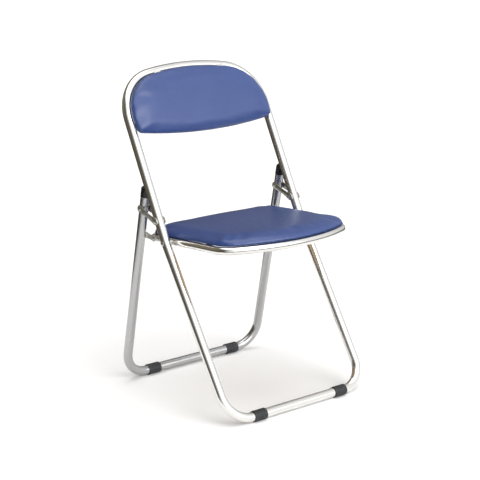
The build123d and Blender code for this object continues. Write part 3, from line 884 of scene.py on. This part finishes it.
def staples_mesh(name, plan, plane, height, step, screws):
    """Wire staples through the hem, left out where a tab lies over it."""
    loop = plan.outline(21 * MM, (10, 40))
    bm = bmesh.new()
    travelled = 0.0
    for before, after in zip(loop, loop[1:] + loop[:1]):
        travelled += (after - before).length
        if travelled < step:
            continue
        travelled = 0.0
        clear = all((after - Vector((x, y))).length > 19 * MM for x, y in screws)
        if not clear:
            continue
        along = (after - before).normalized() * 5 * MM
        ends = [after - along, after + along]
        wire = [Vector((p.x, p.y, height + up * MM)) for p, up in zip(
            (ends[0], ends[0], ends[1], ends[1]), (1.5, -0.3, -0.3, 1.5))]
        add_tube(bm, rounded(list(zip(wire, (0, 0.6 * MM, 0.6 * MM, 0)))), 0.38 * MM, sides=8)
    return to_mesh(name, bm, plane)


class CHAIR_OT_boards(Operator):
    """Finishes the plywood boards and adds the turned-under hems and their staples"""
    bl_idname = "chair.boards"
    bl_label = "Boards and Hems"

    def execute(self, context):
        pads = settings(context)[1]
        coat(context, "plywood", "seat_board", "backrest_board")
        kinds = (
            ("seat", "seat", SEAT_PLAN, seat_plane, 9.7, 11.2),
            ("backrest", "front_frame", BACK_PLAN, back_plane, 11.3, 12.2),
        )
        for name, body, plan, plane, board_low, pad_low in kinds:
            hem = hem_mesh(f"{name}_hem", plan, plane, board_low, pad_low)
            show(context, f"{name}_hem", hem, body, "blue_vinyl", smooth=50)
            screws = [tuple(middle[:2]) for middle, _ in fastener_places(f"{name}_screws", plane)]
            wire_z = (board_low - 0.5) * MM
            wires = staples_mesh(f"{name}_staples", plan, plane, wire_z, pads.staple_step, screws)
            show(context, f"{name}_staples", wires, body, "bright_steel")
        return {"FINISHED"}


# ---------------------------------------------------------------- fittings

def revolve(bm, profile, centre, steps=28):
    """Solid of revolution about the z axis from (radius, height) pairs, first and last on the axis."""
    rings = []
    for radius, height in profile[1:-1]:
        turns = [2 * math.pi * k / steps for k in range(steps)]
        rings.append([bm.verts.new((centre.x + radius * math.cos(t), centre.y + radius * math.sin(t),
                                    centre.z + height)) for t in turns])
    for low, high in zip(rings, rings[1:]):
        for i in range(steps):
            j = (i + 1) % steps
            bm.faces.new((low[i], low[j], high[j], high[i]))
    for ring, (_, height) in ((rings[0], profile[0]), (rings[-1], profile[-1])):
        tip = bm.verts.new((centre.x, centre.y, centre.z + height))
        for i in range(steps):
            bm.faces.new((ring[i], ring[(i + 1) % steps], tip))


def cross_recess(bm, centre, reach, depth):
    """Tapered cross for a screwdriver, to be cut from a head that faces down."""
    wide = 0.55 * MM
    for turn in (0, math.pi / 2):
        across = Vector((math.cos(turn), math.sin(turn), 0))
        along = Vector((-across.y, across.x, 0))
        rings = []
        for z, size in ((-0.6 * MM, 1.15), (depth, 0.35)):
            corners = ((1, 1), (-1, 1), (-1, -1), (1, -1))
            rings.append([bm.verts.new(centre + across * (a * reach * size) + along * (b * wide * size)
                                       + Vector((0, 0, z))) for a, b in corners])
        join_rings(bm, rings)


def screws_mesh(name, places, plane, head_r):
    """Pan-head screws seen from below, each with a cross recess."""
    heads = bmesh.new()
    cuts = bmesh.new()
    for middle, low in places:
        centre = Vector((middle[0], middle[1], low))
        profile = [
            (0, 0), (head_r * 0.45, 0.06 * MM), (head_r * 0.72, 0.32 * MM), (head_r * 0.92, 0.85 * MM),
            (head_r, 1.5 * MM), (head_r, 2.15 * MM), (head_r * 0.97, 2.2 * MM), (2 * MM, 2.2 * MM),
            (2 * MM, 7 * MM), (0, 7 * MM),
        ]
        revolve(heads, profile, centre)
        cross_recess(cuts, centre, 2.3 * MM, 1.5 * MM)
    piece = bpy.data.objects.new(name, to_mesh(name, heads))
    cutter = bpy.data.objects.new("cutter", to_mesh("cutter", cuts))
    for made in (piece, cutter):
        bpy.context.scene.collection.objects.link(made)
    cut = piece.modifiers.new("Recess", "BOOLEAN")
    cut.operation = "DIFFERENCE"
    cut.solver = "EXACT"
    cut.use_self = True
    cut.object = cutter
    apply_modifiers(piece)
    mesh = piece.data
    bpy.data.objects.remove(piece)
    bpy.data.objects.remove(cutter)
    mesh.transform(plane)
    return mesh


class CHAIR_OT_tabs_and_screws(Operator):
    """Finishes the welded tabs and builds the screws that hold the boards"""
    bl_idname = "chair.tabs_and_screws"
    bl_label = "Tabs and Screws"

    def execute(self, context):
        fits = settings(context)[2]
        coat(context, "bright_steel", "seat_tabs", "backrest_tabs")
        kinds = (("seat_screws", "seat", seat_plane), ("backrest_screws", "front_frame", back_plane))
        for name, body, plane in kinds:
            mesh = screws_mesh(name, fastener_places(name, plane), plane, fits.screw_head)
            piece = show(context, f"{name}_crossed", mesh, body, "bright_steel")
            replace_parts(piece, name)
        return {"FINISHED"}


class CHAIR_OT_link_plates(Operator):
    """Builds the four waisted link plates between the front uprights and the rear legs"""
    bl_idname = "chair.link_plates"
    bl_label = "Link Plates"

    def execute(self, context):
        fits = settings(context)[2]
        reach = (LEG_PIVOT - LINK_PIVOT).length
        half = fits.link_width / 2
        narrow = fits.link_waist / 2
        bow = (reach / 2) ** 2 / (2 * (half - narrow)) + (half - narrow) / 2
        swing = math.asin(reach / 2 / bow)
        top = arc((reach / 2, narrow + bow), bow, -math.pi / 2 - swing, -math.pi / 2 + swing, 14)
        end = arc((reach, 0), half, math.pi / 2, -math.pi / 2, 16)
        outline = top + end[1:-1] + [Vector((p.x, -p.y)) for p in reversed(top)]
        outline += [Vector((reach - p.x, -p.y)) for p in end[1:-1]]
        along = (LEG_PIVOT - LINK_PIVOT).normalized()
        for side in SIDES:
            for place in ("outer", "inner"):
                name = f"link_{place}_plate_{side}"
                low, high, _ = node_box(name)
                across = Vector((1, 0, 0))
                axes = Matrix((along, across.cross(along), across)).transposed().to_4x4()
                spot = Matrix.Translation(Vector((low.x, LINK_PIVOT.y, LINK_PIVOT.z))) @ axes
                thick = high.x - low.x
                outward = (place == "outer") == (side == "left")
                base = thick - 0.1 * MM if outward else 0.1 * MM
                rise = fits.link_bead if outward else -fits.link_bead
                bead = (half, reach - half, narrow / 2, rise, base) if place == "outer" else None
                mesh = plate_mesh(f"{name}_eased", outline, thick, 0.35 * MM, spot, bead)
                plate = show(context, f"{name}_eased", mesh, f"link_{side}", "bright_steel")
                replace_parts(plate, name)
        return {"FINISHED"}


class CHAIR_OT_rivets(Operator):
    """Finishes the rivets, the pivot bushes and the rear leg brackets"""
    bl_idname = "chair.rivets"
    bl_label = "Rivets, Bushes and Brackets"

    def execute(self, context):
        rivets = both("seat_pivot_rivet", "link_front_rivet", "link_rear_rivet", "rear_pivot_rivet")
        fittings = both("seat_side_rivet", "rear_leg_bracket", "seat_pivot_bush")
        coat(context, "bright_steel", *rivets, *fittings)
        return {"FINISHED"}


class CHAIR_OT_foot_sleeves(Operator):
    """Builds the four split and grooved rubber sleeves on the floor bars"""
    bl_idname = "chair.foot_sleeves"
    bl_label = "Foot Sleeves"

    def execute(self, context):
        fits = settings(context)[2]
        for end, plane, body in (("front", front_plane, "front_frame"), ("rear", leg_plane, "rear_legs")):
            up = plane.col[1].to_3d()
            for side in SIDES:
                name = f"{end}_foot_sleeve_{side}"
                low, high, middle = node_box(name)
                mesh = self.sleeve(f"{name}_ribbed", high.x - low.x, (high.y - low.y) / 2, fits)
                across = Vector((1, 0, 0))
                axes = Matrix((across, up, across.cross(up))).transposed().to_4x4()
                mesh.transform(Matrix.Translation(middle) @ axes)
                piece = show(context, f"{name}_ribbed", mesh, body, "black_rubber")
                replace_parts(piece, name)
        return {"FINISHED"}

    def sleeve(self, name, long, outer, fits):
        """One sleeve along x, its slit towards +y."""
        inner = TUBE_R + 0.05 * MM
        deep = fits.sleeve_groove
        half = long / 2
        end = [(half, inner + 0.3 * MM), (half, outer - 0.9 * MM), (half - 0.35 * MM, outer - 0.25 * MM),
               (half - 1.1 * MM, outer)]
        groove = [(1.5 * MM, outer), (0.95 * MM, outer - 0.25 * deep), (0.55 * MM, outer - deep)]
        profile = [(-x, r) for x, r in end]
        for step in (-1, 0, 1):
            middle = step * long / 4
            profile += [(middle - x, r) for x, r in groove]
            profile += [(middle + x, r) for x, r in reversed(groove)]
        profile += end[::-1] + [(half - 0.3 * MM, inner), (-half + 0.3 * MM, inner)]
        middle_r = (inner + outer) / 2
        bm = bmesh.new()
        start = fits.sleeve_slit / 2
        ease = 0.35 * MM / outer
        turns = [start, start + 0.3 * ease] + [start + ease + (2 * math.pi - 2 * start - 2 * ease) * i / 56
                                               for i in range(57)]
        turns += [2 * math.pi - start - 0.3 * ease, 2 * math.pi - start]
        rings = []
        for i, turn in enumerate(turns):
            at_end = min(i, len(turns) - 1 - i)
            shrink = (0.35, 0.1, 0.0)[min(at_end, 2)] * MM
            ring = []
            for x, r in profile:
                x -= math.copysign(min(shrink, abs(x)), x) if abs(x) > half - 1.2 * MM else 0
                r += -shrink if r > middle_r else shrink
                ring.append(bm.verts.new((x, r * math.cos(turn), r * math.sin(turn))))
            rings.append(ring)
        join_rings(bm, rings)
        return to_mesh(name, bm)


class CHAIR_OT_black_fittings(Operator):
    """Finishes the leg caps and the rail plugs"""
    bl_idname = "chair.black_fittings"
    bl_label = "Caps and Plugs"

    def execute(self, context):
        coat(context, "black_plastic", *both("rear_leg_cap", "seat_rail_plug"))
        return {"FINISHED"}


# ---------------------------------------------------------------- stage

CAMERA_PLACE = Vector((-2.0562, -2.5491, 1.1981))
CAMERA_AIM = Vector((0.0, -0.0262, 0.380))
CAMERA_ROLL = math.radians(-0.15)
CAMERA_SHIFT = (-0.0173, -0.0085)

# Where each light begins and ends: bearings in radians round the room, and heights as sines.
OPEN_SIDE = [math.radians(a) for a in (-42, -4, 110, 178)]
SOFTBOX_SIDE = [math.radians(a) for a in (5, 35, 52, 84)]
SOFTBOX_RISE = [math.sin(math.radians(a)) for a in (0, 20, 38, 62)]
CEILING_RISE = [math.sin(math.radians(a)) for a in (52, 72)]


class CHAIR_OT_stage(Operator):
    """Lays the pale floor, the soft studio light and the camera"""
    bl_idname = "chair.stage"
    bl_label = "Stage"

    def execute(self, context):
        stage = settings(context)[3]
        self.lay_floor(stage)
        self.light(context, stage)
        self.set_camera(context, stage)
        return {"FINISHED"}

    def lay_floor(self, stage):
        """A pale floor: a near sheet, and the studio floor round it that the plating doesn't mirror."""
        material = pale_floor("Pale_floor", stage.floor)
        for name, radii in (("floor_sheet", (0.4, 0.8, 1.2)), ("floor", (1.2, 3, 9, 27, 81))):
            bm = bmesh.new()
            turns = [2 * math.pi * k / 96 for k in range(96)]
            rings = [[bm.verts.new((r * math.cos(t), r * math.sin(t), 0)) for t in turns] for r in radii]
            for low, high in zip(rings, rings[1:]):
                for i in range(96):
                    bm.faces.new((low[i], low[(i + 1) % 96], high[(i + 1) % 96], high[i]))
            if name == "floor_sheet":
                bm.faces.new(rings[0])
            mesh = to_mesh(name, bm)
            floor = bpy.data.objects.new(name, mesh)
            bpy.context.scene.collection.objects.link(floor)
            mesh.materials.append(material)
            floor.visible_glossy = name == "floor_sheet"

    def light(self, context, stage):
        """Soft light from overhead, an open bright side and its soft box, with a dim side opposite."""
        world = bpy.data.worlds.new("Studio")
        context.scene.world = world
        world.use_nodes = True
        tree = world.node_tree
        background = tree.nodes["Background"]
        way = node(tree, "ShaderNodeTexCoord").outputs["Generated"]
        toward = CAMERA_PLACE - CAMERA_AIM
        toward.z = 0
        toward.normalize()
        right = Vector((-toward.y, toward.x, 0))
        ahead = vector_maths(tree, "DOT_PRODUCT", {0: way, 1: toward}, "Value")
        aside = vector_maths(tree, "DOT_PRODUCT", {0: way, 1: right}, "Value")
        height = node(tree, "ShaderNodeSeparateXYZ", {0: way}).outputs["Z"]
        bearing = maths(tree, "ARCTAN2", aside, ahead)
        front = product(tree, [
            ramp(tree, bearing, *OPEN_SIDE[:2], 0, 1),
            ramp(tree, bearing, *OPEN_SIDE[2:], 1, 0.35),
            ramp(tree, height, -0.16, 0.06, 0.25, 1),
        ])
        box = product(tree, [
            ramp(tree, bearing, *SOFTBOX_SIDE[:2], 0, 1),
            ramp(tree, bearing, *SOFTBOX_SIDE[2:], stage.softbox, 0),
            ramp(tree, height, *SOFTBOX_RISE[:2], 0, 1),
            ramp(tree, height, *SOFTBOX_RISE[2:], 1, 0),
        ])
        front = maths(tree, "ADD", front, box)
        overhead = ramp(tree, height, *CEILING_RISE, 0, stage.overhead)
        glow = maths(tree, "MAXIMUM", front, overhead)
        lit = vector_maths(tree, "SCALE", {0: tuple(stage.bright), "Scale": glow})
        behind = product(tree, [
            ramp(tree, ahead, 0.75, -0.6, 0.55, 1.35),
            ramp(tree, height, -0.25, 0.15, 0.35, 1),
        ])
        dim = vector_maths(tree, "SCALE", {0: tuple(stage.dark), "Scale": behind})
        seen = vector_maths(tree, "MAXIMUM", {0: lit, 1: dim})
        camera_ray = node(tree, "ShaderNodeLightPath").outputs["Is Camera Ray"]
        shown = blend(tree, camera_ray, seen, (1.0, 1.0, 1.0, 1.0))
        tree.links.new(shown, background.inputs["Color"])
        background.inputs["Strength"].default_value = stage.sky_strength

    def set_camera(self, context, stage):
        """The camera at the chair's front right corner, a little above the backrest."""
        data = bpy.data.cameras.new("camera")
        data.sensor_width = 36
        data.lens = stage.lens / MM
        data.shift_x, data.shift_y = CAMERA_SHIFT
        data.clip_end = 200
        camera = bpy.data.objects.new("camera", data)
        camera.rotation_mode = "QUATERNION"
        camera.location = CAMERA_PLACE
        aim = (CAMERA_AIM - CAMERA_PLACE).to_track_quat("-Z", "Y")
        camera.rotation_quaternion = aim @ Matrix.Rotation(CAMERA_ROLL, 3, "Z").to_quaternion()
        context.scene.collection.objects.link(camera)
        context.scene.camera = camera
        context.scene.view_settings.view_transform = "Standard"


# ---------------------------------------------------------------- panel and running order

class CHAIR_PT_panel(Panel):
    """Lists the chair's pieces and their sizes"""
    bl_idname = "CHAIR_PT_panel"
    bl_label = "Folding Chair"
    bl_space_type = "VIEW_3D"
    bl_region_type = "UI"
    bl_category = "Folding Chair"

    def draw(self, context):
        for operator in OPERATORS:
            self.layout.operator(operator.bl_idname)
        for group in settings(context):
            box = self.layout.box()
            for name in group.__annotations__:
                box.prop(group, name)


GROUPS = {
    "chair_tubes": ChairTubes,
    "chair_pads": ChairPads,
    "chair_fittings": ChairFittings,
    "chair_stage": ChairStage,
}
OPERATORS = (
    CHAIR_OT_front_loop,
    CHAIR_OT_rear_loop,
    CHAIR_OT_seat_rail,
    CHAIR_OT_seat_cushion,
    CHAIR_OT_backrest_cushion,
    CHAIR_OT_boards,
    CHAIR_OT_tabs_and_screws,
    CHAIR_OT_link_plates,
    CHAIR_OT_rivets,
    CHAIR_OT_foot_sleeves,
    CHAIR_OT_black_fittings,
    CHAIR_OT_stage,
)


def register():
    """Makes the property groups, operators and panel known to Blender."""
    for name, group in GROUPS.items():
        bpy.utils.register_class(group)
        setattr(bpy.types.Scene, name, PointerProperty(type=group))
    for operator in OPERATORS:
        bpy.utils.register_class(operator)
    bpy.utils.register_class(CHAIR_PT_panel)


def unregister():
    """Takes the panel, operators and property groups away again."""
    bpy.utils.unregister_class(CHAIR_PT_panel)
    for operator in reversed(OPERATORS):
        bpy.utils.unregister_class(operator)
    for name, group in reversed(GROUPS.items()):
        delattr(bpy.types.Scene, name)
        bpy.utils.unregister_class(group)


def main():
    """Builds every piece in order."""
    register()
    bpy.ops.chair.front_loop()
    bpy.ops.chair.rear_loop()
    bpy.ops.chair.seat_rail()
    bpy.ops.chair.seat_cushion()
    bpy.ops.chair.backrest_cushion()
    bpy.ops.chair.boards()
    bpy.ops.chair.tabs_and_screws()
    bpy.ops.chair.link_plates()
    bpy.ops.chair.rivets()
    bpy.ops.chair.foot_sleeves()
    bpy.ops.chair.black_fittings()
    bpy.ops.chair.stage()


if __name__ == "__main__":
    main()
